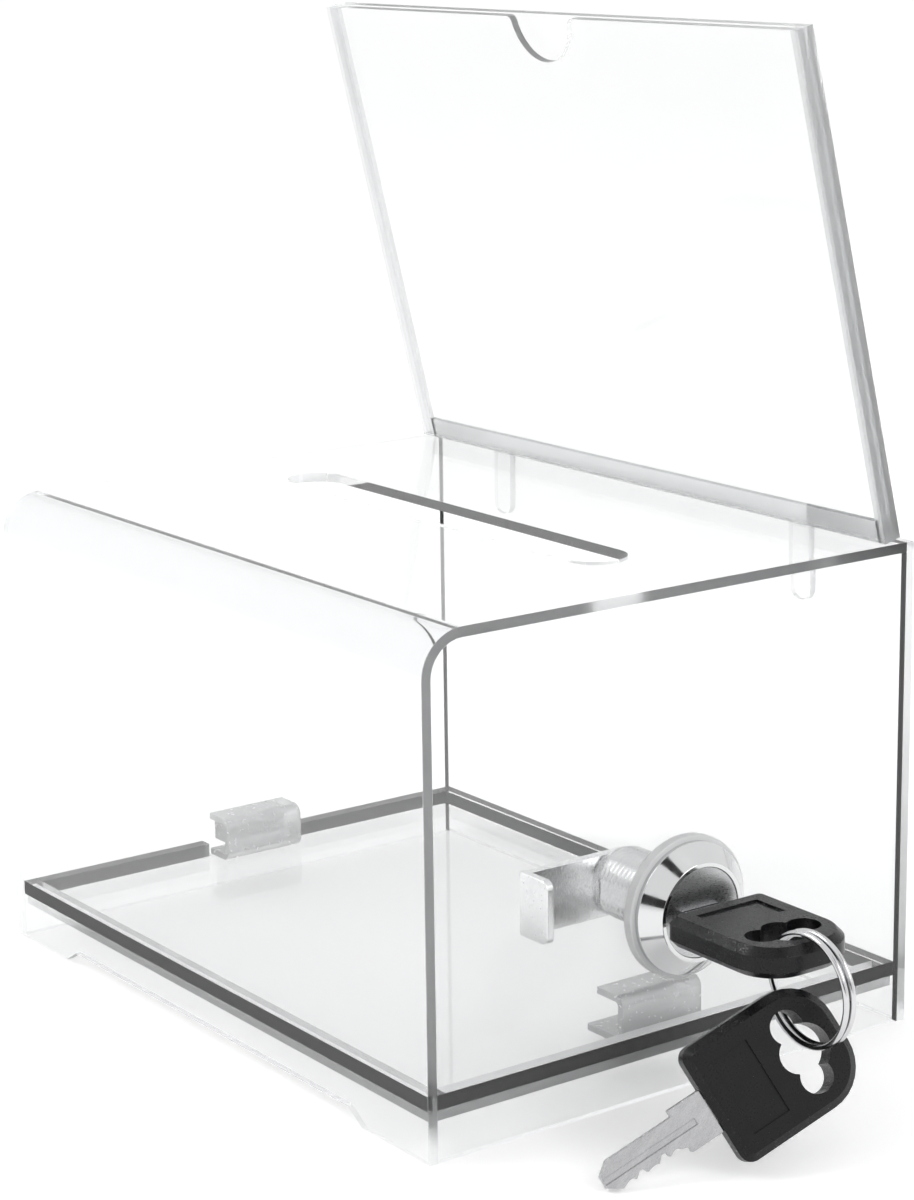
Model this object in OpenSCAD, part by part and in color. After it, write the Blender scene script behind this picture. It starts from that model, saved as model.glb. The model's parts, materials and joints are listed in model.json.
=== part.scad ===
// Clear acrylic ballot box with a drop-out base, a cam lock with two keys and a lift-off sign holder.
// X runs across the box to the lock side, Y from the bent front to the back, Z up from the surface it stands on.

/* [Box] */
// Width of the box across the outside of its side walls
box_w = 160; // [140:1:240]
// Depth from the bent front to the back panel, outside
box_d = 120; // [100:1:200]
// Height to the top of the box
box_h = 101; // [90:1:160]
// Thickness of the acrylic sheet of the box
sheet_t = 2; // [1.5:0.1:3]
// Outer radius of the bend between front and top
bend_r = 9; // [6:0.5:14]

/* [Front skirt] */
// Length of the recess between the front feet
skirt_l = 106; // [60:1:120]
// Height of that recess
skirt_h = 3; // [1:0.5:5]
// Slant of each end of that recess
skirt_slant = 5; // [1:0.5:8]

/* [Ballot slot] */
// Length of the ballot slot
slot_l = 112; // [80:1:125]
// Width of the ballot slot
slot_w = 13; // [6:0.5:20]
// Distance of the slot's middle behind the middle of the box
slot_y = 3.3; // [-10:0.1:12]

/* [Base] */
// Height of the base plate above the surface
base_z = 7.5; // [5:0.5:12]
// Thickness of the base plate
base_t = 2; // [1.5:0.1:3]
// Gap between base plate and walls all round
base_gap = 0.4; // [0.3:0.1:1]
// Width of the ledge strips that the base plate closes against
ledge_w = 3; // [2:0.5:4]
// Height of the ledge strips
ledge_h = 3; // [2:0.5:4]

/* [Catches] */
// Length of each bent catch
catch_l = 20; // [14:1:24]
// Height of each bent catch
catch_h = 10; // [9:0.5:12]
// Thickness of the strip that the catches are bent from
catch_t = 1.5; // [1:0.1:1.8]
// Length of the upper lip of the cam catch
catch_lip = 8; // [7:0.5:10]
// Length of the foot of the cam catch on the base plate
catch_foot = 11; // [8:0.5:14]
// Distance from the lock side wall to the cam catch
catch_x_gap = 4; // [3.6:0.1:6]
// Outer radius of the bends in the catches
catch_r = 2.4; // [2:0.1:3]
// Distance from the far wall to the outside of the far hook
hook_reach = 9; // [8:0.5:12]
// Depth of the keeper block on the far wall
keeper_w = 4.5; // [3:0.5:5]
// Length of the keeper block
keeper_l = 16; // [10:1:20]
// Height of the keeper block
keeper_h = 5; // [3:0.5:6]

/* [Lock] */
// Height of the lock axis above the surface
lock_z = 38; // [36:0.5:50]
// Outside diameter of the bezel
bezel_d = 26.4; // [24:0.1:30]
// Diameter of the flat face of the bezel
bezel_face_d = 19.6; // [19.2:0.1:21]
// Height of the bezel above the gasket
bezel_h = 4.2; // [3.6:0.1:6]
// Height of the straight rim of the bezel
bezel_rim = 1; // [0.5:0.1:2]
// Outside diameter of the gasket
gasket_d = 28.4; // [26:0.1:32]
// Thickness of the gasket
gasket_t = 2.2; // [1:0.1:3]
// Diameter of the threaded barrel over its threads
barrel_d = 15; // [14.5:0.1:16]
// Distance across the two flats of the barrel
barrel_flats = 13.4; // [12.5:0.1:14]
// Length of the barrel behind the bezel
barrel_l = 19.2; // [18.8:0.1:21]
// Pitch of the threads on the barrel
thread_pitch = 1.25; // [1:0.05:1.5]
// Depth of those threads
thread_h = 0.5; // [0.3:0.05:0.6]
// Width of the lock nut across its flats
nut_af = 18; // [17.4:0.1:22]
// Thickness of the lock nut
nut_t = 2.6; // [2:0.1:4]
// Diameter of the plug's face
plug_face_d = 17.8; // [17:0.1:18]
// Thickness of the plug's face
plug_face_t = 1.8; // [1.4:0.1:2.4]
// Diameter of the plug's core
core_d = 10.8; // [10.6:0.1:11.6]

/* [Cam] */
// Width of the cam
cam_w = 13; // [11:0.5:13]
// Thickness of the cam
cam_t = 1.8; // [1.4:0.1:2]
// Size of the square drive between plug and cam
drive_af = 6.4; // [6:0.1:7]
// Thickness of the washer between barrel and cam
washer_t = 1; // [0.6:0.1:1.4]
// Outside diameter of that washer
washer_d = 14; // [12:0.5:15]
// Thread diameter of the cam screw
screw_d = 4; // [3:0.5:4]
// Length of the cam screw under its head
screw_l = 4; // [3.6:0.1:4.2]
// Diameter of the head of the cam screw
screw_head_d = 8; // [7.4:0.1:9]
// Height of the head of the cam screw
screw_head_h = 2.2; // [1.6:0.1:3]

/* [Keys] */
// Length of the moulded key head
head_l = 29; // [27:0.5:32]
// Width of the moulded key head
head_w = 24; // [22:0.5:28]
// Thickness of the moulded key head
head_t = 6; // [4.5:0.1:6]
// Length of the blade outside its head
blade_l = 24; // [23:0.1:24.4]
// Width of the blade
blade_w = 6.3; // [5.6:0.1:6.5]
// Thickness of the blade
blade_t = 2; // [1.6:0.1:2.1]
// Length of the shoulder of the blade
shoulder_l = 7; // [6:0.1:7.4]
// Width of the shoulder of the blade
shoulder_w = 8.8; // [7.5:0.1:9]
// Length of blade that stays in view when the key is in the lock
blade_out = 3.2; // [2.5:0.1:4]
// Outside diameter of the split ring
ring_d = 22.5; // [22:0.1:24]
// Diameter of the ring's wire
wire_d = 1.2; // [1:0.1:1.3]

/* [Sign holder] */
// Width of the sign holder
sign_w = 158; // [136:1:238]
// Length of the sign holder along its slope
sign_h = 104; // [60:1:160]
// Thickness of each sheet of the sign holder
sign_t = 1.5; // [1.2:0.1:1.8]
// Gap for the sign between the two sheets
sign_gap = 1; // [0.8:0.1:1.4]
// Forward lean of the sign holder in degrees
sign_lean = 14; // [0:1:20]
// Distance from the foot of the holder to the outside of the back panel
sign_back = 6.8; // [6.6:0.1:9]
// Radius of the thumb notch
notch_r = 9.5; // [6:0.5:12]
// Width of the spacer strips at both sides of the sign
spacer_w = 3.2; // [2:0.1:5]
// Height of the spacer strip under the sign
spacer_h = 4; // [2:0.5:8]
// Width of each tongue
tongue_w = 6; // [4:0.5:8]
// Length of each tongue below the top of the box
tongue_l = 16.5; // [8:0.5:20]
// Distance of each tongue from the middle of the box
tongue_x = 51; // [30:1:58]

/* [Hidden] */

$fn = 96;
// Facets for the rounded corners of the key head, which is a hull
hull_fn = 32;
// Overrun of a cut past the face that it opens
cut = 1;
// Running clearance of a shaft in its bore, on the radius
run = 0.05;
// Clearance of a loose piece in its pocket, on each side
loose = 0.1;
// Gap between faces that close against each other
seat = 0.2;

// Thickness of the glue between a side wall and the hood
bond_t = 0.05;

// Inside faces of the box
wall_x = box_w / 2 - sheet_t;
wall_y = box_d / 2 - sheet_t;
base_top = base_z + base_t;
plate_x = wall_x - base_gap;
plate_y = wall_y - base_gap;
ledge_z = base_top + seat;

// Underside of the upper lip of both catches
lip_z = base_top + catch_h - catch_t;
catch_x = wall_x - catch_x_gap;
hook_x = hook_reach - wall_x;
// Room between the far hook and the far wall
hook_room = 1;
hook_lip = hook_reach - hook_room;
// Play of the far hook over its keeper
keeper_play = 0.3;
// Gap in the far ledge on each side of the far hook
hook_side_room = 1.5;

// Lock pieces are drawn along Z, with zero at the outside of the lock side wall
barrel_top = gasket_t;
barrel_end = gasket_t - barrel_l;
bezel_top = gasket_t + bezel_h;
plug_top = bezel_top - seat;
face_seat = plug_top - plug_face_t;
barrel_r = barrel_d / 2;
core_r = core_d / 2;
// Clearance of the lock in the hole of the wall, on the radius
hole_gap = 0.2;
washer_top = barrel_end - loose;
cam_top = washer_top - washer_t;
cam_end = cam_top - cam_t;
// Fall of the cam's lip below the lip of the catch when locked
cam_play = 2.5;
cam_reach = lock_z - lip_z + cam_play + cam_t;
// Clearance between the end of the cam's lip and the web of the catch
lip_room = 3.5;
lip_end = catch_x - catch_t - lip_room - box_w / 2;
cam_corner_r = 2;

// Key along Z, with zero at the blade side of its head and the blade below
key_z = plug_top + blade_out;
blade_tip = key_z - blade_l;
// Solid metal between the keyway and the cam screw
keyway_end = blade_tip - 0.3;
keyway_gap = 0.1;
// Number of wafers and their pitch along the plug
wafer_count = 5;
wafer_pitch = 2.5;
wafer_t = 1;
wafer_w = 5.6;
wafer_first = 0.2;
spring_d = 0.8;
spring_l = 2.2;
// Length of blade moulded into the head
tang_l = 10;
tang_w = 5;
// Depth of the bitting at the five wafers, from the edge of the blade
bitting = [0.9, 1.5, 0.6, 1.3, 0.9];
groove_w = 1.2;
groove_h = 0.4;

// Key head: corners at the blade side, round end, rounded edge
head_corner_r = 2.5;
head_end_r = 9;
head_edge = 1.5;
// Width of the bar between the hole and the round end
head_bar = 3.4;
hole_r = 4.8;
lobe_r = 3.2;
lobe_y = 5.2;
heel_r = 3.6;
// Plain sunk panel on both sides of the head
panel_l = 8;
panel_w = 15;
panel_from = 4;
panel_h = 0.4;

// Split ring: two turns side by side, with one crossing
ring_r = (ring_d - wire_d) / 2;
ring_gap = 0.45;
ring_pitch = wire_d + ring_gap;
ring_steps = 24;
wire_sides = 8;
// Half angle of the crossing, where the wire changes sides
cross_a = 30;
ring_start = cross_a + 4;
ring_turn = 720 - 2 * ring_start;
ring_count = round(ring_turn / 360 * ring_steps);
ring_seat = 0.6;
// Middle of the bar of a key head, along the head
bar_mid = head_l - head_bar / 2;
bar_x = box_w / 2 + key_z + bar_mid;
ring_z = lock_z + head_t / 2 + ring_seat + wire_d / 2 - ring_r;
ring_low = ring_z - ring_r;

// Spare key: its blade tip lies on the surface, the head hangs on the ring
spare_seat = 2.4;
spare_hold = head_l - head_bar - wire_d / 2 - spare_seat;
spare_tip_z = 1.7;
spare_dip = asin((ring_low - spare_tip_z) / (spare_hold + blade_l));
spare_turn = 12;
spare_roll = -26;

// Sign holder
sign_y = box_d / 2 - sign_back;
sign_deep = 2 * sign_t + sign_gap;
sign_seat = 0.05;
tongue_y = sign_y + (sign_t + sign_gap) * cos(sign_lean);
tongue_top = box_h + (sign_t + sign_gap) * sin(sign_lean) + 0.3;
tongue_gap = 0.2;
notch_fillet = 1.5;

clear = [0.93, 0.96, 0.97, 0.35];
frosted = [0.92, 0.94, 0.95, 0.6];
chrome = [0.78, 0.79, 0.8];
steel = [0.66, 0.67, 0.69];
black = [0.07, 0.07, 0.075];

// Carries a drawing in X and Y to the plane across the box, pulled along X
module across(length) {
    translate([-length / 2, 0, 0])
        rotate([90, 0, 90])
            linear_extrude(length) children();
}

// Carries what is drawn along Z to the axis of the lock, with its lower side down
module at_lock() {
    translate([box_w / 2, 0, lock_z]) rotate([0, 90, 0]) children();
}

module stadium(length, width) {
    square([length - width, width], center = true);
    for (side = [-1, 1])
        translate([side * (length - width) / 2, 0]) circle(d = width);
}

// Inside of the bent hood, seen from the side, shrunk by a distance on each face
module hood_profile(inset) {
    r = bend_r - inset;
    front = -box_d / 2 + inset;
    top = box_h - inset;
    back = wall_y;
    translate([front + r, 0]) square([back - front - r, top]);
    translate([front, 0]) square([back - front, top - r]);
    translate([front + r, top - r]) circle(r);
}

module hood_sheet() {
    color(clear) difference() {
        across(box_w) difference() {
            hood_profile(0);
            hood_profile(sheet_t);
            translate([-wall_y, -cut]) square([2 * wall_y + cut, cut + box_h / 2]);
        }
        translate([0, slot_y, box_h - sheet_t - cut])
            linear_extrude(sheet_t + 2 * cut) stadium(slot_l, slot_w);
        for (side = [-1, 1])
            translate([side * tongue_x, tongue_y + sign_t / 2, box_h])
                cube([tongue_w + 2 * tongue_gap, sign_t + 2 * tongue_gap, 4 * sheet_t], center = true);
        translate([0, -wall_y + cut, 0])
            rotate([90, 0, 0])
                linear_extrude(sheet_t + 2 * cut)
                    polygon([
                        [-skirt_l / 2 - skirt_slant * (1 + cut / skirt_h), -cut],
                        [skirt_l / 2 + skirt_slant * (1 + cut / skirt_h), -cut],
                        [skirt_l / 2, skirt_h],
                        [-skirt_l / 2, skirt_h],
                    ]);
    }
}

module back_panel() {
    color(clear)
        translate([-box_w / 2, wall_y, 0]) cube([box_w, sheet_t, box_h]);
}

module side_wall() {
    across(sheet_t) hood_profile(sheet_t + bond_t);
}

// Hole through the wall with two flats, so that the lock can't turn
module lock_hole() {
    intersection() {
        cylinder(r = barrel_r + hole_gap, h = 4 * sheet_t, center = true);
        cube([2 * barrel_d, barrel_flats + 2 * hole_gap, 8 * sheet_t], center = true);
    }
}

module lock_side_wall() {
    color(clear) difference() {
        translate([wall_x + sheet_t / 2, 0, 0]) side_wall();
        at_lock() lock_hole();
    }
}

module far_side_wall() {
    color(clear) translate([-wall_x - sheet_t / 2, 0, 0]) side_wall();
}

module ledge(length) {
    translate([-length / 2, 0, ledge_z]) cube([length, ledge_w, ledge_h]);
}

module ledge_front() {
    color(clear) translate([0, -wall_y, 0]) ledge(2 * wall_x);
}

module ledge_back() {
    color(clear) translate([0, wall_y - ledge_w, 0]) ledge(2 * wall_x);
}

module ledge_lock_side() {
    color(clear)
        translate([wall_x, 0, 0]) rotate([0, 0, 90]) ledge(2 * (wall_y - ledge_w));
}

module ledge_far_side() {
    gap = catch_l / 2 + hook_side_room;
    run_l = wall_y - ledge_w - gap;
    color(clear)
        for (side = [-1, 1])
            translate([-wall_x + ledge_w, side * (gap + run_l / 2), 0]) rotate([0, 0, 90]) ledge(run_l);
}

module hook_keeper() {
    color(frosted)
        translate([-wall_x, -keeper_l / 2, lip_z - keeper_play - keeper_h])
            cube([keeper_w, keeper_l, keeper_h]);
}

// Outline of a bent catch: foot, web and lip, open towards the left, web at zero
module catch_outline(foot, lip) {
    module rounded(width, height, r) {
        translate([-width, 0]) square([width - r, height]);
        translate([-width, r]) square([width, height - 2 * r]);
        for (y = [r, height - r])
            translate([-r, y]) circle(r, $fn = 48);
    }
    difference() {
        rounded(foot, catch_h, catch_r);
        translate([-catch_t, catch_t]) rounded(foot + cut, catch_h - 2 * catch_t, catch_r - catch_t);
        translate([-foot - cut, catch_h / 2]) square([foot + cut - lip, catch_h]);
    }
}

module bent_catch(foot, lip) {
    translate([0, catch_l / 2, base_top])
        rotate([90, 0, 0])
            linear_extrude(catch_l) catch_outline(foot, lip);
}

module base_plate() {
    color(clear)
        translate([-plate_x, -plate_y, base_z]) cube([2 * plate_x, 2 * plate_y, base_t]);
}

module cam_catch() {
    color(frosted) translate([catch_x, 0, 0]) bent_catch(catch_foot, catch_lip);
}

module far_hook() {
    color(frosted) translate([hook_x, 0, 0]) bent_catch(hook_lip, hook_lip);
}

// Threaded barrel outline from its axis, with one groove per pitch
module barrel_profile() {
    thread_from = -sheet_t;
    turns = floor((thread_from - barrel_end) / thread_pitch);
    grooves = [
        for (i = [0:turns - 1])
            for (p = [[barrel_r - 0.1, 0.12], [barrel_r - thread_h, 0.5], [barrel_r - 0.1, 0.88]])
                [p[0], thread_from - (i + p[1]) * thread_pitch]
    ];
    polygon(concat(
        [[0, barrel_top + cut], [barrel_r, barrel_top + cut], [barrel_r, thread_from]],
        grooves,
        [[barrel_r - thread_h, barrel_end], [0, barrel_end]]
    ));
}

module lock_housing() {
    color(chrome) at_lock() difference() {
        union() {
            intersection() {
                rotate_extrude() barrel_profile();
                translate([0, 0, barrel_end + barrel_l / 2])
                    cube([2 * barrel_d, barrel_flats, barrel_l + 2 * cut], center = true);
            }
            rotate_extrude()
                polygon([
                    [0, gasket_t],
                    [bezel_d / 2, gasket_t],
                    [bezel_d / 2, gasket_t + bezel_rim],
                    [bezel_face_d / 2, bezel_top],
                    [0, bezel_top],
                ]);
        }
        translate([0, 0, barrel_end - cut])
            cylinder(r = core_r + run, h = barrel_l + bezel_h + 2 * cut);
        translate([0, 0, face_seat - seat])
            cylinder(r = plug_face_d / 2 + run, h = bezel_h + cut);
    }
}

module lock_gasket() {
    color(clear) at_lock() difference() {
        cylinder(d = gasket_d, h = gasket_t);
        translate([0, 0, -cut]) cylinder(r = barrel_r + loose, h = gasket_t + 2 * cut);
    }
}

module lock_nut() {
    chamfer = 0.5;
    color(steel) at_lock()
        translate([0, 0, -sheet_t - nut_t]) difference() {
            intersection() {
                cylinder(d = nut_af / cos(30), h = nut_t, $fn = 6);
                rotate_extrude()
                    polygon([
                        [0, 0],
                        [nut_af / 2, 0],
                        [nut_af / 2 / cos(30), chamfer * 1.5],
                        [nut_af / 2 / cos(30), nut_t],
                        [0, nut_t],
                    ]);
            }
            translate([0, 0, -cut]) cylinder(r = barrel_r + run, h = nut_t + 2 * cut);
        }
}

module drive(gap) {
    translate([-drive_af / 2 - gap, -drive_af / 2 - gap, 0])
        square(drive_af + 2 * gap);
}

function wafer_at(i) = wafer_first - i * wafer_pitch;

module lock_plug() {
    slot = wafer_t + loose;
    color(chrome) at_lock() difference() {
        union() {
            translate([0, 0, face_seat]) cylinder(d = plug_face_d, h = plug_face_t);
            translate([0, 0, barrel_end]) cylinder(r = core_r, h = face_seat - barrel_end);
            translate([0, 0, cam_end]) linear_extrude(barrel_end - cam_end + cut)
                intersection() {
                    drive(0);
                    circle(r = core_r - 0.6);
                }
        }
        translate([-blade_t / 2 - keyway_gap, -blade_w / 2 - keyway_gap, keyway_end])
            cube([blade_t + 2 * keyway_gap, blade_w + 2 * keyway_gap, plug_top - keyway_end + cut]);
        translate([-blade_t / 2 - keyway_gap, -shoulder_w / 2 - keyway_gap, key_z - shoulder_l - keyway_gap])
            cube([blade_t + 2 * keyway_gap, shoulder_w + 2 * keyway_gap, shoulder_l + cut]);
        for (i = [0:wafer_count - 1])
            translate([0, 0, wafer_at(i)])
                cube([wafer_w + 2 * loose, 2 * core_d, slot], center = true);
        translate([0, 0, cam_end - cut]) cylinder(r = screw_d / 2 + run, h = screw_l + cut + loose);
    }
}

module wafer_tumblers() {
    color(steel) at_lock()
        for (i = [0:wafer_count - 1])
            translate([0, 0, wafer_at(i)]) difference() {
                intersection() {
                    cube([wafer_w, core_d, wafer_t], center = true);
                    cylinder(r = core_r - loose, h = 2 * wafer_t, center = true);
                }
                cube([blade_t + 3 * keyway_gap, blade_w + 3 * keyway_gap, 2 * wafer_t], center = true);
                translate([wafer_w / 2, 0, 0])
                    cube([2 * spring_d + 4 * loose, spring_l + 2 * loose, 2 * wafer_t], center = true);
            }
}

module wafer_springs() {
    color(steel) at_lock()
        for (i = [0:wafer_count - 1])
            translate([wafer_w / 2 - spring_d / 2, 0, wafer_at(i)])
                rotate([90, 0, 0]) cylinder(d = spring_d, h = spring_l, center = true, $fn = 24);
}

module cam_washer() {
    color(steel) at_lock() translate([0, 0, cam_top]) linear_extrude(washer_t)
        difference() {
            circle(d = washer_d);
            drive(run);
        }
}

module lock_cam() {
    root_r = cam_w / 2;
    color(steel) at_lock() {
        translate([0, 0, cam_end]) linear_extrude(cam_t)
            difference() {
                union() {
                    circle(r = root_r);
                    translate([-root_r, -cam_reach]) square([cam_w, cam_reach]);
                }
                drive(run);
            }
        translate([0, -cam_reach + cam_t, 0]) rotate([90, 0, 0])
            linear_extrude(cam_t) {
                translate([-root_r, cam_end + cam_t / 2])
                    square([cam_w, lip_end - cam_end - cam_t / 2 - cam_corner_r]);
                translate([-root_r + cam_corner_r, lip_end - 2 * cam_corner_r])
                    square([cam_w - 2 * cam_corner_r, 2 * cam_corner_r]);
                for (side = [-1, 1])
                    translate([side * (root_r - cam_corner_r), lip_end - cam_corner_r])
                        circle(cam_corner_r, $fn = 48);
            }
    }
}

module cam_screw() {
    slot_d = 0.9;
    color(steel) at_lock() difference() {
        union() {
            translate([0, 0, cam_end - screw_head_h]) rotate_extrude()
                polygon([
                    [0, 0],
                    [screw_head_d / 2 - screw_head_h / 2, 0],
                    [screw_head_d / 2, screw_head_h / 2],
                    [screw_head_d / 2, screw_head_h],
                    [0, screw_head_h],
                ]);
            translate([0, 0, cam_end - cut]) cylinder(d = screw_d, h = screw_l + cut);
        }
        for (a = [0, 90])
            rotate([0, 0, a]) translate([0, 0, cam_end - screw_head_h])
                cube([screw_head_d * 0.6, slot_d, screw_head_h], center = true);
    }
}

// Blade in the plane of Y and Z: shoulder, bitted blade and chamfered tip
module blade_outline() {
    half = blade_w / 2;
    tip_l = 2.6;
    tip_w = 1.2;
    land = 0.5;
    cuts = [
        for (i = [0:wafer_count - 1])
            let (z = wafer_at(i) - key_z)
                for (p = [[-wafer_pitch / 2 + land, 0.3], [-land, bitting[i]], [land, bitting[i]]])
                    [half - p[1], z - p[0]]
    ];
    polygon(concat(
        [[-tang_w / 2, tang_l], [-tang_w / 2, 0], [-shoulder_w / 2, 0], [-shoulder_w / 2, -shoulder_l]],
        [[-half, -shoulder_l], [-half, -blade_l + tip_l], [-tip_w, -blade_l], [tip_w, -blade_l]],
        [[half - 0.3, -blade_l + tip_l]],
        [for (i = [len(cuts) - 1:-1:0]) cuts[i]],
        [[half, -shoulder_l], [shoulder_w / 2, -shoulder_l], [shoulder_w / 2, 0]],
        [[tang_w / 2, 0], [tang_w / 2, tang_l]]
    ));
}

module blade() {
    rotate([90, 0, 90]) difference() {
        translate([0, 0, -blade_t / 2]) linear_extrude(blade_t) blade_outline();
        for (side = [-1, 1])
            translate([0, -blade_l / 2 - shoulder_l / 2, side * blade_t / 2])
                cube([groove_w, blade_l, 2 * groove_h], center = true);
    }
}

module head_hole() {
    mid = head_l - head_bar - hole_r;
    translate([0, mid]) circle(hole_r);
    translate([0, mid - heel_r / 2]) circle(heel_r);
    for (side = [-1, 1])
        translate([side * lobe_y, mid - 1]) circle(lobe_r);
}

// Moulded head in the plane of Y and Z around the end of the blade
module head() {
    side_y = head_w / 2 - head_corner_r;
    end_y = head_w / 2 - head_end_r;
    rotate([90, 0, 90]) difference() {
        hull()
            for (side = [-1, 1], inset = [0, head_edge]) {
                translate([side * side_y, head_corner_r, -head_t / 2 + head_edge - inset])
                    cylinder(r = head_corner_r - inset, h = head_t - 2 * (head_edge - inset), $fn = hull_fn);
                translate([side * end_y, head_l - head_end_r, -head_t / 2 + head_edge - inset])
                    cylinder(r = head_end_r - inset, h = head_t - 2 * (head_edge - inset), $fn = hull_fn);
            }
        translate([0, 0, -head_t]) linear_extrude(2 * head_t) head_hole();
        for (side = [-1, 1])
            translate([0, panel_from + panel_l / 2, side * head_t / 2])
                cube([panel_w, panel_l, 2 * panel_h], center = true);
        translate([-tang_w / 2, -cut, -blade_t / 2]) cube([tang_w, tang_l + cut, blade_t]);
    }
}

module in_lock() {
    at_lock() translate([0, 0, key_z]) children();
}

module key_blade() {
    color(steel) in_lock() blade();
}

module key_head() {
    color(black) in_lock() head();
}

function smooth(t) = t * t * (3 - 2 * t);
function ring_side(a) = a < 360 - cross_a ? -1 : a > 360 + cross_a ? 1 :
    -1 + 2 * smooth((a - 360 + cross_a) / (2 * cross_a));
function ring_mid(a) = [-ring_r * cos(a), ring_side(a) * ring_pitch / 2, -ring_r * sin(a)];
function wire_ring(a) = [
    for (k = [0:wire_sides - 1])
        let (b = 360 * (k + 0.5) / wire_sides, r = wire_d / 2)
            ring_mid(a) + [-r * cos(b) * cos(a), r * sin(b), -r * cos(b) * sin(a)]
];

// One unbroken wire of nearly two turns around Y
module key_ring() {
    angles = [for (i = [0:ring_count]) ring_start + i * ring_turn / ring_count];
    n = wire_sides;
    last = ring_count * n;
    color(chrome) translate([bar_x, 0, ring_z])
        polyhedron(
            points = [for (a = angles) each wire_ring(a)],
            faces = concat(
                [
                    for (i = [0:ring_count - 1], k = [0:n - 1])
                        each [
                            [i * n + k, i * n + (k + 1) % n, (i + 1) * n + k],
                            [i * n + (k + 1) % n, (i + 1) * n + (k + 1) % n, (i + 1) * n + k],
                        ]
                ],
                [for (k = [1:n - 2]) [0, k + 1, k]],
                [for (k = [1:n - 2]) [last, last + k, last + k + 1]]
            )
        );
}

// Carries a key to the ring's lowest point, blade down to the surface
module on_ring() {
    translate([bar_x, 0, ring_low])
        rotate([0, 0, -spare_turn])
            rotate([spare_dip - 90, 0, 0])
                rotate([0, 0, spare_roll])
                    translate([0, 0, -spare_hold]) children();
}

module spare_key_blade() {
    color(steel) on_ring() blade();
}

module spare_key_head() {
    color(black) on_ring() head();
}

// Carries the holder's pieces to its foot on the box and leans them forward
module leaning() {
    translate([0, sign_y, box_h + sign_seat]) rotate([sign_lean, 0, 0]) children();
}

module holder_sheet() {
    translate([-sign_w / 2, 0, 0]) cube([sign_w, sign_t, sign_h]);
}

// Thumb notch with rounded corners, at the top edge of the sheet
module notch_outline() {
    corner = sqrt(pow(notch_r + notch_fillet, 2) - pow(notch_fillet, 2));
    part = notch_r / (notch_r + notch_fillet);
    circle(notch_r);
    difference() {
        polygon([
            [-corner, cut], [-corner, 0], [-corner * part, -notch_fillet * part],
            [corner * part, -notch_fillet * part], [corner, 0], [corner, cut],
        ]);
        for (side = [-1, 1])
            translate([side * corner, -notch_fillet]) circle(notch_fillet, $fn = 48);
    }
}

module sign_front_sheet() {
    color(clear) leaning() difference() {
        holder_sheet();
        translate([0, sign_t + cut, sign_h])
            rotate([90, 0, 0]) linear_extrude(sign_t + 2 * cut) notch_outline();
    }
}

module sign_back_sheet() {
    round_r = tongue_w / 2 - 0.5;
    color(clear) {
        leaning() translate([0, sign_t + sign_gap, 0]) holder_sheet();
        for (side = [-1, 1])
            translate([side * tongue_x, tongue_y + sign_t, box_h - tongue_l])
                rotate([90, 0, 0])
                    linear_extrude(sign_t) {
                        translate([-tongue_w / 2, round_r])
                            square([tongue_w, tongue_top - box_h + tongue_l - round_r]);
                        translate([-tongue_w / 2 + round_r, 0])
                            square([tongue_w - 2 * round_r, 2 * round_r]);
                        for (edge = [-1, 1])
                            translate([edge * (tongue_w / 2 - round_r), round_r]) circle(round_r, $fn = 48);
                    }
    }
}

module side_spacer(side) {
    leaning()
        translate([side * (sign_w - spacer_w) / 2 - spacer_w / 2, sign_t, 0])
            cube([spacer_w, sign_gap, sign_h]);
}

module sign_left_spacer() {
    color(clear) side_spacer(-1);
}

module sign_right_spacer() {
    color(clear) side_spacer(1);
}

module sign_bottom_spacer() {
    color(clear) leaning()
        translate([-sign_w / 2 + spacer_w, sign_t, 0])
            cube([sign_w - 2 * spacer_w, sign_gap, spacer_h]);
}

hood_sheet();
back_panel();
lock_side_wall();
far_side_wall();
ledge_front();
ledge_back();
ledge_lock_side();
ledge_far_side();
hook_keeper();
lock_housing();
lock_gasket();
lock_nut();
base_plate();
cam_catch();
far_hook();
lock_plug();
wafer_tumblers();
wafer_springs();
cam_washer();
lock_cam();
cam_screw();
key_blade();
key_head();
key_ring();
spare_key_blade();
spare_key_head();
sign_front_sheet();
sign_back_sheet();
sign_left_spacer();
sign_right_spacer();
sign_bottom_spacer();
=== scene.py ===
import json
import math

import bmesh
import bpy
from mathutils import Matrix, Vector

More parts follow.
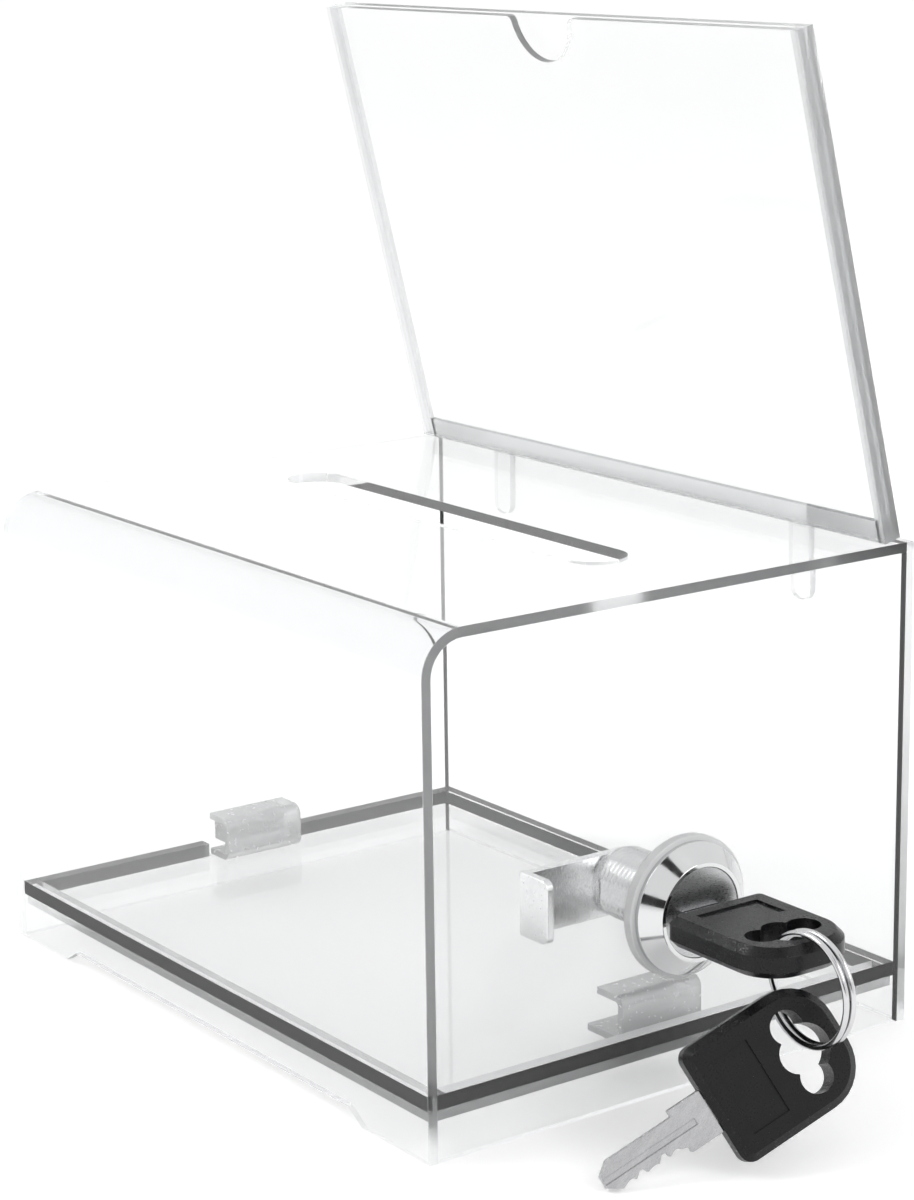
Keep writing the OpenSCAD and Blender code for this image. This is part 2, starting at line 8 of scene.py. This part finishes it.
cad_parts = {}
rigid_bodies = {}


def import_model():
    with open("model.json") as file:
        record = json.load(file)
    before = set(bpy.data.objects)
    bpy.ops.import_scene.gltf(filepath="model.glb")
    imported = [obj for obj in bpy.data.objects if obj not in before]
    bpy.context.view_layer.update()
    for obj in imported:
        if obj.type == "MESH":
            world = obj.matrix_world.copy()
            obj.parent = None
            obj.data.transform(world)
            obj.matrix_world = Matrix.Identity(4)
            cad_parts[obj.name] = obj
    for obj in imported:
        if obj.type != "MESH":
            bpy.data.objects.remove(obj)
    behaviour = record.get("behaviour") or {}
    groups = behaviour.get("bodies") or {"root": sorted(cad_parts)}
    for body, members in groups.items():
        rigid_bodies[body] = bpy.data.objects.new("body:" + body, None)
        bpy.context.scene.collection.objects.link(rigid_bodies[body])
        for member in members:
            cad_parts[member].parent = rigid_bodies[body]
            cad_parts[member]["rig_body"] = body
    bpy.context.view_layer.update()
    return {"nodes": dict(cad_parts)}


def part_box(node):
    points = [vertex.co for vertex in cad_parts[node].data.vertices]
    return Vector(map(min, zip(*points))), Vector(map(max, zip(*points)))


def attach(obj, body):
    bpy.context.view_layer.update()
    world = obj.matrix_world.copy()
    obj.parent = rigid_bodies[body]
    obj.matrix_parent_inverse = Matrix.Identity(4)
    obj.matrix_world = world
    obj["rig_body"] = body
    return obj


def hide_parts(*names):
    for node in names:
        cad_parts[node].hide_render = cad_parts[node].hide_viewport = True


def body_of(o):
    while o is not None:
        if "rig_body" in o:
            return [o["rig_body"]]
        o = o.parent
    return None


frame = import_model()
nodes = frame["nodes"]

# Camera: its place in metres, and the angles from which it looks at the box
CAMERA_PLACE = Vector((0.50386, -0.35665, 0.23156))
AZIMUTH = math.radians(54.29)
ELEVATION = math.radians(13.53)
ROLL = math.radians(-0.79)
LENS_MM = 90.94
SENSOR_MM = 36
FARTHEST_SEEN = 20

# Room: strength of its light, what lifts the seen floor to white, and half the floor's width
WORLD_LIGHT = 0.72
FLOOR_LIFT = 0.3
FLOOR_REACH = 30

# Points at which the lamps and the dark boards are turned, in metres
BOX_MIDDLE = (0, 0, 0.06)
LOCK_MIDDLE = (0.09, 0, 0.04)

# Lamps: place, width and height in metres, power in watts
LAMPS = {
    "window": {"place": (-0.9, -1.0, 1.3), "size": (0.9, 0.9), "power": 12},
    "fill": {"place": (1.4, 0.5, 1.1), "size": (0.8, 0.8), "power": 7},
}

# Dark boards for the lock's metal to mirror: place, width and height in metres
FLAGS = {
    "flag_low": {"place": (1.1, -0.9, 0.25), "size": (0.9, 0.3)},
    "flag_high": {"place": (0.8, -0.1, 1.2), "size": (0.3, 0.5)},
    "flag_left": {"place": (0.5, -1.3, 0.5), "size": (0.25, 0.9)},
}

# Direction in which each flat sheet is thin, in its own coordinates
SIGN_TILT = math.radians(14)
SIGN_NORMAL = (0, math.cos(SIGN_TILT), math.sin(SIGN_TILT))
SHEET_NORMALS = {
    "back_panel": (0, 1, 0),
    "lock_side_wall": (1, 0, 0),
    "far_side_wall": (1, 0, 0),
    "base_plate": (0, 0, 1),
    "sign_front_sheet": SIGN_NORMAL,
    "sign_back_sheet": SIGN_NORMAL,
}

# The hood is bent about X, so its sawn side edges face X and its flat front faces Y
HOOD_AXIS = (1, 0, 0)
HOOD_FRONT = (0, 1, 0)
STRIP_NORMAL = (0, 0, 1)

# Pieces that share a finish
STRIPS = (
    "ledge_front", "ledge_back", "ledge_lock_side", "ledge_far_side",
    "sign_left_spacer", "sign_right_spacer", "sign_bottom_spacer",
)
BENT_PIECES = ("cam_catch", "far_hook", "hook_keeper")
TURNED = ("lock_nut", "cam_washer", "cam_screw", "wafer_tumblers", "wafer_springs")
BLADES = ("key_blade", "spare_key_blade")
HEADS = ("key_head", "spare_key_head")

# Clear sheet: how much light it lets through, its index, and its sawn edges
CLEAR_SHARE = 0.92
CLEAR_INDEX = 1.2
SAWN_TONE = (0.955, 0.965, 0.97, 1)
SAWN_ROUGHNESS = 0.35

# How squarely a surface faces a direction, from 0 to 1. The two limits beyond let all pass
EDGE_FACING = 0.6
BELOW_ALL = -1
ABOVE_ALL = 2

# Painted shade of the hood's bend, a grey put into its colour, and the facing of the front's direction
# between which it lies
BEND_PAINTED_SHADE = (0.86, 0.87, 0.875, 1)
BEND_LEAST = 0.08
BEND_MOST = 0.995

# Fine marks against broad ones, and the range of the noise that becomes roughness
FINE_TIMES = 9
FINE_DETAIL = 6
NOISE_LOW = 0.3
NOISE_HIGH = 0.7

# Metals: marks per metre, two tones, two roughnesses, depth in metres and stretch of the marks
METALS = {
    "chrome_plating": {
        "scale": 60, "low": (0.62, 0.625, 0.63), "high": (0.7, 0.705, 0.71),
        "roughness": (0.05, 0.12),
    },
    "brushed_plug": {
        "scale": 120, "low": (0.42, 0.425, 0.43), "high": (0.58, 0.585, 0.59),
        "roughness": (0.22, 0.36), "depth": 0.000003, "stretch": (1, 1, 9),
    },
    "turned_steel": {
        "scale": 120, "low": (0.5, 0.505, 0.51), "high": (0.68, 0.68, 0.69),
        "roughness": (0.2, 0.34), "depth": 0.00001,
    },
    "stamped_steel": {
        "scale": 90, "low": (0.78, 0.785, 0.79), "high": (0.9, 0.9, 0.905),
        "roughness": (0.18, 0.3), "depth": 0.000002, "stretch": (1, 6, 1),
    },
    "ring_steel": {
        "scale": 200, "low": (0.55, 0.55, 0.56), "high": (0.68, 0.68, 0.69),
        "roughness": (0.1, 0.2),
    },
    "key_steel": {
        "scale": 140, "low": (0.38, 0.38, 0.39), "high": (0.56, 0.56, 0.57),
        "roughness": (0.2, 0.34), "depth": 0.00003, "stretch": (9, 1, 1),
    },
}

# Width of the rounding along the edges of each hard piece, in metres
ROUNDED = {
    "lock_housing": 0.00012,
    "lock_plug": 0.0001,
    "lock_gasket": 0.0003,
    "lock_cam": 0.0003,
    "cam_screw": 0.00015,
    "key_blade": 0.00015,
    "spare_key_blade": 0.00015,
    "key_head": 0.0007,
    "spare_key_head": 0.0007,
    "cam_catch": 0.0002,
    "far_hook": 0.0002,
}
ROUNDING_STEPS = 3
SMOOTH_ANGLE = math.radians(32)
FLAT_ANGLE = math.radians(0.5)
SAME_POINT = 0.000002

# Split ring, as in the CAD: wire and turns in metres, start and crossing in degrees
RING_OUTER = 0.0225
RING_WIRE = 0.0012
RING_PITCH = 0.00165
RING_START = 34
RING_CROSSING = 30
RING_POINTS = 145
WIRE_SIDES = 20


def add_object(name, data):
    thing = bpy.data.objects.new(name, data)
    bpy.context.scene.collection.objects.link(thing)
    return thing


def add_camera():
    data = bpy.data.cameras.new("camera")
    data.sensor_width = SENSOR_MM
    data.lens = LENS_MM
    data.clip_end = FARTHEST_SEEN
    back = Vector((
        math.sin(AZIMUTH) * math.cos(ELEVATION),
        -math.cos(AZIMUTH) * math.cos(ELEVATION),
        math.sin(ELEVATION),
    ))
    right = Vector((math.cos(AZIMUTH), math.sin(AZIMUTH), 0))
    up = back.cross(right)
    right_rolled = math.cos(ROLL) * right + math.sin(ROLL) * up
    up_rolled = math.cos(ROLL) * up - math.sin(ROLL) * right
    turn = Matrix((right_rolled, up_rolled, back)).transposed()
    camera = add_object("camera", data)
    camera.matrix_world = Matrix.Translation(CAMERA_PLACE) @ turn.to_4x4()
    bpy.context.scene.camera = camera


def new_material(name):
    """A material, its node tree and its Principled BSDF."""
    material = bpy.data.materials.new(name)
    material.use_nodes = True
    tree = material.node_tree
    return material, tree, tree.nodes["Principled BSDF"]


def set_inputs(node, values):
    for name, value in values.items():
        node.inputs[name].default_value = value


def maths(tree, operation, first, second=None, third=None):
    """A Math node whose inputs are sockets or plain numbers, and its result."""
    node = tree.nodes.new("ShaderNodeMath")
    node.operation = operation
    for place, value in enumerate((first, second, third)):
        if value is None:
            continue
        if isinstance(value, (int, float)):
            node.inputs[place].default_value = value
        else:
            tree.links.new(value, node.inputs[place])
    return node.outputs[0]


def build_marks_group():
    """Fine wear of every finish: a tone, a roughness and a normal that change over the surface."""
    tree = bpy.data.node_groups.new("handling_marks", "ShaderNodeTree")
    face = tree.interface
    face.new_socket("Scale", in_out="INPUT", socket_type="NodeSocketFloat")
    stretch = face.new_socket("Stretch", in_out="INPUT", socket_type="NodeSocketVector")
    stretch.default_value = (1, 1, 1)
    for name in ("Low Colour", "High Colour"):
        face.new_socket(name, in_out="INPUT", socket_type="NodeSocketColor")
    for name in ("Low Roughness", "High Roughness", "Depth"):
        face.new_socket(name, in_out="INPUT", socket_type="NodeSocketFloat")
    face.new_socket("Colour", in_out="OUTPUT", socket_type="NodeSocketColor")
    face.new_socket("Roughness", in_out="OUTPUT", socket_type="NodeSocketFloat")
    face.new_socket("Normal", in_out="OUTPUT", socket_type="NodeSocketVector")
    given = tree.nodes.new("NodeGroupInput")
    out = tree.nodes.new("NodeGroupOutput")
    place = tree.nodes.new("ShaderNodeTexCoord")
    stretched = tree.nodes.new("ShaderNodeVectorMath")
    stretched.operation = "MULTIPLY"
    broad = tree.nodes.new("ShaderNodeTexNoise")
    fine = tree.nodes.new("ShaderNodeTexNoise")
    set_inputs(fine, {"Detail": FINE_DETAIL})
    fine_scale = maths(tree, "MULTIPLY", given.outputs["Scale"], FINE_TIMES)
    tone = tree.nodes.new("ShaderNodeMix")
    tone.data_type = "RGBA"
    rough = tree.nodes.new("ShaderNodeMapRange")
    set_inputs(rough, {"From Min": NOISE_LOW, "From Max": NOISE_HIGH})
    bump = tree.nodes.new("ShaderNodeBump")
    set_inputs(bump, {"Strength": 1})
    link = tree.links.new
    link(place.outputs["Object"], stretched.inputs[0])
    link(given.outputs["Stretch"], stretched.inputs[1])
    link(stretched.outputs[0], broad.inputs["Vector"])
    link(stretched.outputs[0], fine.inputs["Vector"])
    link(given.outputs["Scale"], broad.inputs["Scale"])
    link(fine_scale, fine.inputs["Scale"])
    link(broad.outputs["Fac"], tone.inputs["Factor"])
    link(given.outputs["Low Colour"], tone.inputs["A"])
    link(given.outputs["High Colour"], tone.inputs["B"])
    link(fine.outputs["Fac"], rough.inputs["Value"])
    link(given.outputs["Low Roughness"], rough.inputs["To Min"])
    link(given.outputs["High Roughness"], rough.inputs["To Max"])
    link(given.outputs["Depth"], bump.inputs["Distance"])
    link(fine.outputs["Fac"], bump.inputs["Height"])
    link(tone.outputs["Result"], out.inputs["Colour"])
    link(rough.outputs["Result"], out.inputs["Roughness"])
    link(bump.outputs["Normal"], out.inputs["Normal"])
    return tree


def build_facing_group():
    """Mask that is 1 where the surface faces a direction by more than Least and less than Most."""
    tree = bpy.data.node_groups.new("facing_mask", "ShaderNodeTree")
    face = tree.interface
    face.new_socket("Direction", in_out="INPUT", socket_type="NodeSocketVector")
    for name in ("Least", "Most"):
        face.new_socket(name, in_out="INPUT", socket_type="NodeSocketFloat")
    face.new_socket("Mask", in_out="OUTPUT", socket_type="NodeSocketFloat")
    given = tree.nodes.new("NodeGroupInput")
    out = tree.nodes.new("NodeGroupOutput")
    place = tree.nodes.new("ShaderNodeTexCoord")
    along = tree.nodes.new("ShaderNodeVectorMath")
    along.operation = "DOT_PRODUCT"
    tree.links.new(place.outputs["Normal"], along.inputs[0])
    tree.links.new(given.outputs["Direction"], along.inputs[1])
    faced = maths(tree, "ABSOLUTE", along.outputs["Value"])
    below = maths(tree, "LESS_THAN", faced, given.outputs["Most"])
    above = maths(tree, "GREATER_THAN", faced, given.outputs["Least"])
    tree.links.new(maths(tree, "MULTIPLY", below, above), out.inputs["Mask"])
    return tree


MARKS = build_marks_group()
FACING = build_facing_group()


def add_marks(tree, scale, low, high, roughness, depth=0.0, stretch=(1, 1, 1)):
    marks = tree.nodes.new("ShaderNodeGroup")
    marks.node_tree = MARKS
    set_inputs(marks, {
        "Scale": scale,
        "Stretch": stretch,
        "Low Colour": (*low, 1),
        "High Colour": (*high, 1),
        "Low Roughness": roughness[0],
        "High Roughness": roughness[1],
        "Depth": depth,
    })
    return marks


def add_mask(tree, direction, least, most):
    mask = tree.nodes.new("ShaderNodeGroup")
    mask.node_tree = FACING
    set_inputs(mask, {"Direction": direction, "Least": least, "Most": most})
    return mask.outputs["Mask"]


def mix_colour(tree, mask, base, tone):
    """The base colour, and another tone where the mask is 1."""
    mix = tree.nodes.new("ShaderNodeMix")
    mix.data_type = "RGBA"
    set_inputs(mix, {"B": tone})
    tree.links.new(mask, mix.inputs["Factor"])
    tree.links.new(base, mix.inputs["A"])
    return mix.outputs["Result"]


def connect(tree, marks, shader, names=("Colour", "Roughness", "Normal")):
    sockets = {"Colour": "Base Color", "Roughness": "Roughness", "Normal": "Normal"}
    for name in names:
        tree.links.new(marks.outputs[name], shader.inputs[sockets[name]])


def clear_acrylic(name, direction, least=BELOW_ALL, most=EDGE_FACING):
    """Polished sheet with a little haze. Its edges, which the mask finds, are duller than its faces."""
    material, tree, shader = new_material(name)
    marks = add_marks(
        tree, scale=30, low=(0.985, 0.99, 0.992), high=(0.998, 0.999, 1.0), roughness=(0.0, 0.015),
    )
    set_inputs(shader, {"Transmission Weight": CLEAR_SHARE, "IOR": CLEAR_INDEX})
    edge = add_mask(tree, direction, least, most)
    tone = mix_colour(tree, edge, marks.outputs["Colour"], SAWN_TONE)
    rough = tree.nodes.new("ShaderNodeMix")
    set_inputs(rough, {"B": SAWN_ROUGHNESS})
    tree.links.new(edge, rough.inputs["Factor"])
    tree.links.new(marks.outputs["Roughness"], rough.inputs["A"])
    tree.links.new(tone, shader.inputs["Base Color"])
    tree.links.new(rough.outputs["Result"], shader.inputs["Roughness"])
    return material


def paint_bend_shade(material):
    """Painted shade: the hot-bent strip of a sheet is painted a little greyer than its flat faces."""
    tree = material.node_tree
    shader = tree.nodes["Principled BSDF"]
    flat_tone = shader.inputs["Base Color"].links[0].from_socket
    bend = add_mask(tree, HOOD_FRONT, BEND_LEAST, BEND_MOST)
    # The grey mixed in over the bend is painted shade
    tree.links.new(mix_colour(tree, bend, flat_tone, BEND_PAINTED_SHADE), shader.inputs["Base Color"])


def cloudy_acrylic():
    """Strip bent hot, a little cloudy all over."""
    material, tree, shader = new_material("bent_acrylic")
    marks = add_marks(
        tree, scale=90, low=(0.93, 0.94, 0.945), high=(0.975, 0.98, 0.985), roughness=(0.15, 0.3),
    )
    set_inputs(shader, {"Transmission Weight": 0.5, "IOR": 1.4})
    connect(tree, marks, shader)
    return material


def soft_gasket():
    """Milky soft plastic."""
    material, tree, shader = new_material("soft_gasket")
    marks = add_marks(
        tree, scale=150, low=(0.9, 0.91, 0.915), high=(0.96, 0.965, 0.97), roughness=(0.3, 0.45),
    )
    set_inputs(shader, {"Transmission Weight": 0.25, "IOR": 1.45})
    connect(tree, marks, shader)
    return material


def metal(name):
    material, tree, shader = new_material(name)
    marks = add_marks(tree, **METALS[name])
    set_inputs(shader, {"Metallic": 1})
    connect(tree, marks, shader)
    return material


def moulded_black():
    """Satin moulded plastic with a fine grain."""
    material, tree, shader = new_material("moulded_black")
    marks = add_marks(
        tree, scale=260, low=(0.004, 0.004, 0.0045), high=(0.009, 0.009, 0.01),
        roughness=(0.24, 0.36), depth=0.00001,
    )
    set_inputs(shader, {"Specular IOR Level": 0.25})
    connect(tree, marks, shader)
    return material


def rounded_piece(name, width):
    """A copy of a hard piece, joined up, with smooth curves and softly rounded edges."""
    node = nodes[name]
    mesh = node.data.copy()
    mesh.name = name + "_rounded"
    shape = bmesh.new()
    shape.from_mesh(mesh)
    bmesh.ops.remove_doubles(shape, verts=shape.verts, dist=SAME_POINT)
    bmesh.ops.dissolve_limit(shape, angle_limit=FLAT_ANGLE, verts=shape.verts, edges=shape.edges)
    for face in shape.faces:
        face.smooth = True
    for edge in shape.edges:
        edge.smooth = len(edge.link_faces) == 2 and edge.calc_face_angle() < SMOOTH_ANGLE
    shape.to_mesh(mesh)
    shape.free()
    piece = add_object(name + "_rounded", mesh)
    bevel = piece.modifiers.new("rounding", "BEVEL")
    bevel.width = width
    bevel.segments = ROUNDING_STEPS
    bevel.limit_method = "ANGLE"
    bevel.angle_limit = SMOOTH_ANGLE
    bevel.harden_normals = True
    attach(piece, body_of(node)[0])
    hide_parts(name)
    return piece


def build_ring_tree(material):
    """Two turns of wire around Y, side by side, with one smooth crossing."""
    tree = bpy.data.node_groups.new("split_ring", "GeometryNodeTree")
    face = tree.interface
    face.new_socket("Geometry", in_out="OUTPUT", socket_type="NodeSocketGeometry")
    for name in ("Ring Radius", "Wire Radius", "Pitch", "Start", "Crossing"):
        face.new_socket(name, in_out="INPUT", socket_type="NodeSocketFloat")
    face.new_socket("Middle", in_out="INPUT", socket_type="NodeSocketVector")
    given = tree.nodes.new("NodeGroupInput")
    out = tree.nodes.new("NodeGroupOutput")
    link = tree.links.new
    line = tree.nodes.new("GeometryNodeMeshLine")
    set_inputs(line, {"Count": RING_POINTS})
    wire = tree.nodes.new("GeometryNodeMeshToCurve")
    index = tree.nodes.new("GeometryNodeInputIndex").outputs["Index"]
    share = maths(tree, "DIVIDE", index, RING_POINTS - 1)
    start = given.outputs["Start"]
    turn = maths(tree, "SUBTRACT", 2 * math.tau, maths(tree, "MULTIPLY", start, 2))
    angle = maths(tree, "MULTIPLY_ADD", share, turn, start)
    # The wire lies half a pitch to one side before the crossing, and to the other after it
    crossed = tree.nodes.new("ShaderNodeMapRange")
    crossed.interpolation_type = "SMOOTHSTEP"
    set_inputs(crossed, {"To Min": -0.5, "To Max": 0.5})
    crossing = given.outputs["Crossing"]
    link(maths(tree, "SUBTRACT", angle, math.tau), crossed.inputs["Value"])
    link(maths(tree, "MULTIPLY", crossing, -1), crossed.inputs["From Min"])
    link(crossing, crossed.inputs["From Max"])
    aside = maths(tree, "MULTIPLY", crossed.outputs["Result"], given.outputs["Pitch"])
    radius = maths(tree, "MULTIPLY", given.outputs["Ring Radius"], -1)
    place = tree.nodes.new("ShaderNodeCombineXYZ")
    link(maths(tree, "MULTIPLY", maths(tree, "COSINE", angle), radius), place.inputs["X"])
    link(aside, place.inputs["Y"])
    link(maths(tree, "MULTIPLY", maths(tree, "SINE", angle), radius), place.inputs["Z"])
    moved = tree.nodes.new("ShaderNodeVectorMath")
    link(place.outputs[0], moved.inputs[0])
    link(given.outputs["Middle"], moved.inputs[1])
    bent = tree.nodes.new("GeometryNodeSetPosition")
    link(line.outputs["Mesh"], wire.inputs["Mesh"])
    link(wire.outputs["Curve"], bent.inputs["Geometry"])
    link(moved.outputs[0], bent.inputs["Position"])
    section = tree.nodes.new("GeometryNodeCurvePrimitiveCircle")
    set_inputs(section, {"Resolution": WIRE_SIDES})
    link(given.outputs["Wire Radius"], section.inputs["Radius"])
    swept = tree.nodes.new("GeometryNodeCurveToMesh")
    set_inputs(swept, {"Fill Caps": True})
    link(bent.outputs["Geometry"], swept.inputs["Curve"])
    link(section.outputs["Curve"], swept.inputs["Profile Curve"])
    real = tree.nodes.new("GeometryNodeRealizeInstances")
    finish = tree.nodes.new("GeometryNodeSetMaterial")
    set_inputs(finish, {"Material": material})
    link(swept.outputs["Mesh"], real.inputs["Geometry"])
    link(real.outputs["Geometry"], finish.inputs["Geometry"])
    link(finish.outputs["Geometry"], out.inputs["Geometry"])
    return tree


def add_split_ring(material):
    """The ring as a plain mesh, with its outermost point where the CAD's is."""
    low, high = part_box("key_ring")
    middle = [(a + b) / 2 for a, b in zip(low, high)]
    middle[0] = high[0] - RING_OUTER / 2
    maker = add_object("ring_maker", bpy.data.meshes.new("ring_maker"))
    winding = maker.modifiers.new("split_ring", "NODES")
    tree = build_ring_tree(material)
    winding.node_group = tree
    sizes = {
        "Ring Radius": (RING_OUTER - RING_WIRE) / 2,
        "Wire Radius": RING_WIRE / 2,
        "Pitch": RING_PITCH,
        "Start": math.radians(RING_START),
        "Crossing": math.radians(RING_CROSSING),
        "Middle": middle,
    }
    for item in tree.interface.items_tree:
        if item.in_out == "INPUT":
            winding[item.identifier] = sizes[item.name]
    bpy.context.view_layer.update()
    made = maker.evaluated_get(bpy.context.evaluated_depsgraph_get())
    mesh = bpy.data.meshes.new_from_object(made)
    bpy.data.objects.remove(maker)
    # The wire's sides have four corners and its two end caps have more, which stay flat
    for face in mesh.polygons:
        face.use_smooth = len(face.vertices) == 4
    ring = add_object("split_ring", mesh)
    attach(ring, "ring")
    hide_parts("key_ring")


def give(names, material):
    for name in names:
        for slot in shown[name].material_slots:
            slot.material = material


def paint_pieces():
    for name, direction in SHEET_NORMALS.items():
        give([name], clear_acrylic("sheet_" + name, direction))
    hood = clear_acrylic("sheet_hood", HOOD_AXIS, EDGE_FACING, ABOVE_ALL)
    # Paint shade over the hood's bend
    paint_bend_shade(hood)
    give(["hood_sheet"], hood)
    give(STRIPS, clear_acrylic("strip_acrylic", STRIP_NORMAL))
    give(BENT_PIECES, cloudy_acrylic())
    give(["lock_gasket"], soft_gasket())
    give(["lock_housing"], metal("chrome_plating"))
    give(["lock_plug"], metal("brushed_plug"))
    give(TURNED, metal("turned_steel"))
    give(["lock_cam"], metal("stamped_steel"))
    add_split_ring(metal("ring_steel"))
    give(BLADES, metal("key_steel"))
    give(HEADS, moulded_black())


def backdrop_share(tree, unseen, seen):
    """One value for what the camera sees, also in metal and through glass, another for other light."""
    path = tree.nodes.new("ShaderNodeLightPath")
    either = maths(tree, "MAXIMUM", path.outputs["Is Camera Ray"], path.outputs["Is Glossy Ray"])
    any_of = maths(tree, "MAXIMUM", either, path.outputs["Is Transmission Ray"])
    share = tree.nodes.new("ShaderNodeMapRange")
    set_inputs(share, {"To Min": unseen, "To Max": seen})
    tree.links.new(any_of, share.inputs["Value"])
    return share.outputs["Result"]


def add_board(name, width, height):
    """A flat rectangle that faces up."""
    mesh = bpy.data.meshes.new(name)
    x = width / 2
    y = height / 2
    mesh.from_pydata([(-x, -y, 0), (x, -y, 0), (x, y, 0), (-x, y, 0)], [], [(0, 1, 2, 3)])
    return add_object(name, mesh)


def facing(place, target):
    turn = (Vector(place) - Vector(target)).to_track_quat("Z", "Y").to_matrix().to_4x4()
    return Matrix.Translation(place) @ turn


def add_floor():
    floor = add_board("floor", 2 * FLOOR_REACH, 2 * FLOOR_REACH)
    material, tree, shader = new_material("paper_floor")
    marks = add_marks(
        tree, scale=40, low=(0.93, 0.93, 0.93), high=(0.96, 0.96, 0.96), roughness=(0.7, 0.9),
    )
    connect(tree, marks, shader, ("Colour", "Roughness"))
    set_inputs(shader, {"Emission Color": (1, 1, 1, 1)})
    tree.links.new(backdrop_share(tree, 0, FLOOR_LIFT), shader.inputs["Emission Strength"])
    floor.data.materials.append(material)


def add_flag(name, place, size):
    """Dark board beside the camera that only shows in shiny metal."""
    board = add_board(name, *size)
    board.matrix_world = facing(place, LOCK_MIDDLE)
    board.visible_camera = False
    board.visible_transmission = False
    board.visible_diffuse = False
    board.visible_shadow = False
    material, tree, shader = new_material("black_cloth_" + name)
    marks = add_marks(
        tree, scale=20, low=(0.01, 0.01, 0.01), high=(0.03, 0.03, 0.03), roughness=(0.8, 0.95),
    )
    connect(tree, marks, shader, ("Colour", "Roughness"))
    board.data.materials.append(material)


def add_lamp(name, place, size, power):
    data = bpy.data.lights.new(name, "AREA")
    data.shape = "RECTANGLE"
    data.size, data.size_y = size
    data.energy = power
    lamp = add_object(name, data)
    lamp.matrix_world = facing(place, BOX_MIDDLE)


def light_studio():
    world = bpy.data.worlds.new("studio")
    bpy.context.scene.world = world
    world.use_nodes = True
    tree = world.node_tree
    background = tree.nodes["Background"]
    tree.links.new(backdrop_share(tree, WORLD_LIGHT, 1), background.inputs["Strength"])
    set_inputs(background, {"Color": (1, 1, 1, 1)})
    for name, lamp in LAMPS.items():
        add_lamp(name, **lamp)
    for name, flag in FLAGS.items():
        add_flag(name, **flag)


add_camera()
shown = dict(nodes)
for hard_piece, rounding in ROUNDED.items():
    shown[hard_piece] = rounded_piece(hard_piece, rounding)
paint_pieces()
add_floor()
light_studio()
bpy.context.scene.view_settings.view_transform = "Standard"
